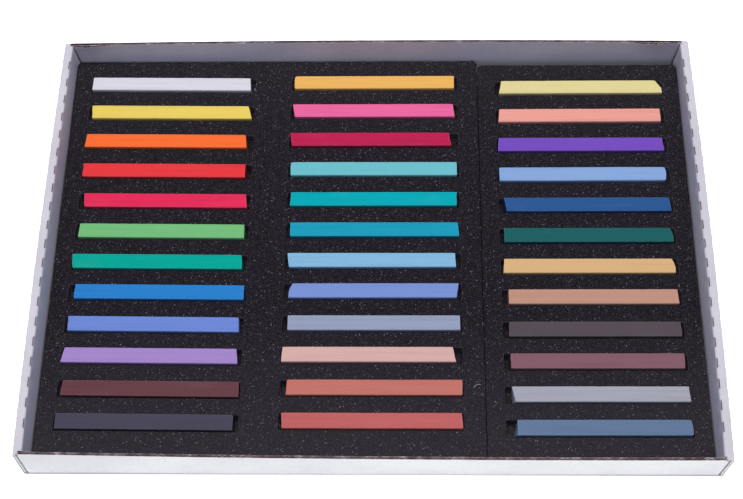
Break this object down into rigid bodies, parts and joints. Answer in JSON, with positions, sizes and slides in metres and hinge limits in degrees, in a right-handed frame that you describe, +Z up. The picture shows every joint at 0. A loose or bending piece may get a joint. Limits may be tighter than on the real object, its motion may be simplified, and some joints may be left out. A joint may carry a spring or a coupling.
{
  "type": "pastel stick box",
  "caption": "Shallow fluted board tray with rolled side walls; two slotted foam inserts hold rows of square pastel sticks that lift out.",
  "frame": {"origin": "middle of the tray's underside, on the surface it stands on", "axes": "+X along the tray's length, towards the insert with one column of sticks; +Y towards the rear wall; +Z up out of the open top"},
  "size_m": [0.2934, 0.2038, 0.0223],
  "materials": {
    "board": "matte",
    "foam": "matte",
    "pastel_white": "matte",
    "pastel_yellow": "matte",
    "pastel_orange": "matte",
    "pastel_red": "matte",
    "pastel_crimson": "matte",
    "pastel_light_green": "matte",
    "pastel_emerald": "matte",
    "pastel_blue": "matte",
    "pastel_periwinkle": "matte",
    "pastel_lilac": "matte",
    "pastel_brown": "matte",
    "pastel_charcoal": "matte",
    "pastel_golden_yellow": "matte",
    "pastel_pink": "matte",
    "pastel_carmine": "matte",
    "pastel_turquoise": "matte",
    "pastel_sea_teal": "matte",
    "pastel_cyan_blue": "matte",
    "pastel_pale_blue": "matte",
    "pastel_blue_violet": "matte",
    "pastel_grey_blue": "matte",
    "pastel_pale_pink": "matte",
    "pastel_terracotta": "matte",
    "pastel_brick_rose": "matte",
    "pastel_pale_yellow": "matte",
    "pastel_salmon": "matte",
    "pastel_violet": "matte",
    "pastel_light_blue": "matte",
    "pastel_dark_blue": "matte",
    "pastel_dark_green": "matte",
    "pastel_ochre": "matte",
    "pastel_tan": "matte",
    "pastel_taupe": "matte",
    "pastel_mauve": "matte",
    "pastel_light_grey": "matte",
    "pastel_slate_blue": "matte"
  },
  "bodies": {
    "tray": {"floor_panel": "board", "front_wall": "board", "rear_wall": "board", "left_outer_wall": "board", "left_inner_wall": "board", "left_rim": "board", "right_outer_wall": "board", "right_inner_wall": "board", "right_rim": "board", "front_left_flap": "board", "rear_left_flap": "board", "front_right_flap": "board", "rear_right_flap": "board"},
    "wide_insert": {"wide_foam_base": "foam", "wide_foam_slotted": "foam"},
    "narrow_insert": {"narrow_foam_base": "foam", "narrow_foam_slotted": "foam"},
    "white_stick": {"stick_white": "pastel_white"},
    "yellow_stick": {"stick_yellow": "pastel_yellow"},
    "orange_stick": {"stick_orange": "pastel_orange"},
    "red_stick": {"stick_red": "pastel_red"},
    "crimson_stick": {"stick_crimson": "pastel_crimson"},
    "light_green_stick": {"stick_light_green": "pastel_light_green"},
    "emerald_stick": {"stick_emerald": "pastel_emerald"},
    "blue_stick": {"stick_blue": "pastel_blue"},
    "periwinkle_stick": {"stick_periwinkle": "pastel_periwinkle"},
    "lilac_stick": {"stick_lilac": "pastel_lilac"},
    "brown_stick": {"stick_brown": "pastel_brown"},
    "charcoal_stick": {"stick_charcoal": "pastel_charcoal"},
    "golden_yellow_stick": {"stick_golden_yellow": "pastel_golden_yellow"},
    "pink_stick": {"stick_pink": "pastel_pink"},
    "carmine_stick": {"stick_carmine": "pastel_carmine"},
    "turquoise_stick": {"stick_turquoise": "pastel_turquoise"},
    "sea_teal_stick": {"stick_sea_teal": "pastel_sea_teal"},
    "cyan_blue_stick": {"stick_cyan_blue": "pastel_cyan_blue"},
    "pale_blue_stick": {"stick_pale_blue": "pastel_pale_blue"},
    "blue_violet_stick": {"stick_blue_violet": "pastel_blue_violet"},
    "grey_blue_stick": {"stick_grey_blue": "pastel_grey_blue"},
    "pale_pink_stick": {"stick_pale_pink": "pastel_pale_pink"},
    "terracotta_stick": {"stick_terracotta": "pastel_terracotta"},
    "brick_rose_stick": {"stick_brick_rose": "pastel_brick_rose"},
    "pale_yellow_stick": {"stick_pale_yellow": "pastel_pale_yellow"},
    "salmon_stick": {"stick_salmon": "pastel_salmon"},
    "violet_stick": {"stick_violet": "pastel_violet"},
    "light_blue_stick": {"stick_light_blue": "pastel_light_blue"},
    "dark_blue_stick": {"stick_dark_blue": "pastel_dark_blue"},
    "dark_green_stick": {"stick_dark_green": "pastel_dark_green"},
    "ochre_stick": {"stick_ochre": "pastel_ochre"},
    "tan_stick": {"stick_tan": "pastel_tan"},
    "taupe_stick": {"stick_taupe": "pastel_taupe"},
    "mauve_stick": {"stick_mauve": "pastel_mauve"},
    "light_grey_stick": {"stick_light_grey": "pastel_light_grey"},
    "slate_blue_stick": {"stick_slate_blue": "pastel_slate_blue"}
  },
  "joints": [
    {"name": "wide_insert_lift", "type": "slide", "parent": "tray", "child": "wide_insert", "axis": [0, 0, 1], "range_m": [0, 0.03]},
    {"name": "narrow_insert_lift", "type": "slide", "parent": "tray", "child": "narrow_insert", "axis": [0, 0, 1], "range_m": [0, 0.03]},
    {"name": "white_stick_lift", "type": "slide", "parent": "wide_insert", "child": "white_stick", "axis": [0, 0, 1], "range_m": [0, 0.03]},
    {"name": "yellow_stick_lift", "type": "slide", "parent": "wide_insert", "child": "yellow_stick", "axis": [0, 0, 1], "range_m": [0, 0.03]},
    {"name": "orange_stick_lift", "type": "slide", "parent": "wide_insert", "child": "orange_stick", "axis": [0, 0, 1], "range_m": [0, 0.03]},
    {"name": "red_stick_lift", "type": "slide", "parent": "wide_insert", "child": "red_stick", "axis": [0, 0, 1], "range_m": [0, 0.03]},
    {"name": "crimson_stick_lift", "type": "slide", "parent": "wide_insert", "child": "crimson_stick", "axis": [0, 0, 1], "range_m": [0, 0.03]},
    {"name": "light_green_stick_lift", "type": "slide", "parent": "wide_insert", "child": "light_green_stick", "axis": [0, 0, 1], "range_m": [0, 0.03]},
    {"name": "emerald_stick_lift", "type": "slide", "parent": "wide_insert", "child": "emerald_stick", "axis": [0, 0, 1], "range_m": [0, 0.03]},
    {"name": "blue_stick_lift", "type": "slide", "parent": "wide_insert", "child": "blue_stick", "axis": [0, 0, 1], "range_m": [0, 0.03]},
    {"name": "periwinkle_stick_lift", "type": "slide", "parent": "wide_insert", "child": "periwinkle_stick", "axis": [0, 0, 1], "range_m": [0, 0.03]},
    {"name": "lilac_stick_lift", "type": "slide", "parent": "wide_insert", "child": "lilac_stick", "axis": [0, 0, 1], "range_m": [0, 0.03]},
    {"name": "brown_stick_lift", "type": "slide", "parent": "wide_insert", "child": "brown_stick", "axis": [0, 0, 1], "range_m": [0, 0.03]},
    {"name": "charcoal_stick_lift", "type": "slide", "parent": "wide_insert", "child": "charcoal_stick", "axis": [0, 0, 1], "range_m": [0, 0.03]},
    {"name": "golden_yellow_stick_lift", "type": "slide", "parent": "wide_insert", "child": "golden_yellow_stick", "axis": [0, 0, 1], "range_m": [0, 0.03]},
    {"name": "pink_stick_lift", "type": "slide", "parent": "wide_insert", "child": "pink_stick", "axis": [0, 0, 1], "range_m": [0, 0.03]},
    {"name": "carmine_stick_lift", "type": "slide", "parent": "wide_insert", "child": "carmine_stick", "axis": [0, 0, 1], "range_m": [0, 0.03]},
    {"name": "turquoise_stick_lift", "type": "slide", "parent": "wide_insert", "child": "turquoise_stick", "axis": [0, 0, 1], "range_m": [0, 0.03]},
    {"name": "sea_teal_stick_lift", "type": "slide", "parent": "wide_insert", "child": "sea_teal_stick", "axis": [0, 0, 1], "range_m": [0, 0.03]},
    {"name": "cyan_blue_stick_lift", "type": "slide", "parent": "wide_insert", "child": "cyan_blue_stick", "axis": [0, 0, 1], "range_m": [0, 0.03]},
    {"name": "pale_blue_stick_lift", "type": "slide", "parent": "wide_insert", "child": "pale_blue_stick", "axis": [0, 0, 1], "range_m": [0, 0.03]},
    {"name": "blue_violet_stick_lift", "type": "slide", "parent": "wide_insert", "child": "blue_violet_stick", "axis": [0, 0, 1], "range_m": [0, 0.03]},
    {"name": "grey_blue_stick_lift", "type": "slide", "parent": "wide_insert", "child": "grey_blue_stick", "axis": [0, 0, 1], "range_m": [0, 0.03]},
    {"name": "pale_pink_stick_lift", "type": "slide", "parent": "wide_insert", "child": "pale_pink_stick", "axis": [0, 0, 1], "range_m": [0, 0.03]},
    {"name": "terracotta_stick_lift", "type": "slide", "parent": "wide_insert", "child": "terracotta_stick", "axis": [0, 0, 1], "range_m": [0, 0.03]},
    {"name": "brick_rose_stick_lift", "type": "slide", "parent": "wide_insert", "child": "brick_rose_stick", "axis": [0, 0, 1], "range_m": [0, 0.03]},
    {"name": "pale_yellow_stick_lift", "type": "slide", "parent": "narrow_insert", "child": "pale_yellow_stick", "axis": [0, 0, 1], "range_m": [0, 0.03]},
    {"name": "salmon_stick_lift", "type": "slide", "parent": "narrow_insert", "child": "salmon_stick", "axis": [0, 0, 1], "range_m": [0, 0.03]},
    {"name": "violet_stick_lift", "type": "slide", "parent": "narrow_insert", "child": "violet_stick", "axis": [0, 0, 1], "range_m": [0, 0.03]},
    {"name": "light_blue_stick_lift", "type": "slide", "parent": "narrow_insert", "child": "light_blue_stick", "axis": [0, 0, 1], "range_m": [0, 0.03]},
    {"name": "dark_blue_stick_lift", "type": "slide", "parent": "narrow_insert", "child": "dark_blue_stick", "axis": [0, 0, 1], "range_m": [0, 0.03]},
    {"name": "dark_green_stick_lift", "type": "slide", "parent": "narrow_insert", "child": "dark_green_stick", "axis": [0, 0, 1], "range_m": [0, 0.03]},
    {"name": "ochre_stick_lift", "type": "slide", "parent": "narrow_insert", "child": "ochre_stick", "axis": [0, 0, 1], "range_m": [0, 0.03]},
    {"name": "tan_stick_lift", "type": "slide", "parent": "narrow_insert", "child": "tan_stick", "axis": [0, 0, 1], "range_m": [0, 0.03]},
    {"name": "taupe_stick_lift", "type": "slide", "parent": "narrow_insert", "child": "taupe_stick", "axis": [0, 0, 1], "range_m": [0, 0.03]},
    {"name": "mauve_stick_lift", "type": "slide", "parent": "narrow_insert", "child": "mauve_stick", "axis": [0, 0, 1], "range_m": [0, 0.03]},
    {"name": "light_grey_stick_lift", "type": "slide", "parent": "narrow_insert", "child": "light_grey_stick", "axis": [0, 0, 1], "range_m": [0, 0.03]},
    {"name": "slate_blue_stick_lift", "type": "slide", "parent": "narrow_insert", "child": "slate_blue_stick", "axis": [0, 0, 1], "range_m": [0, 0.03]}
  ]
}
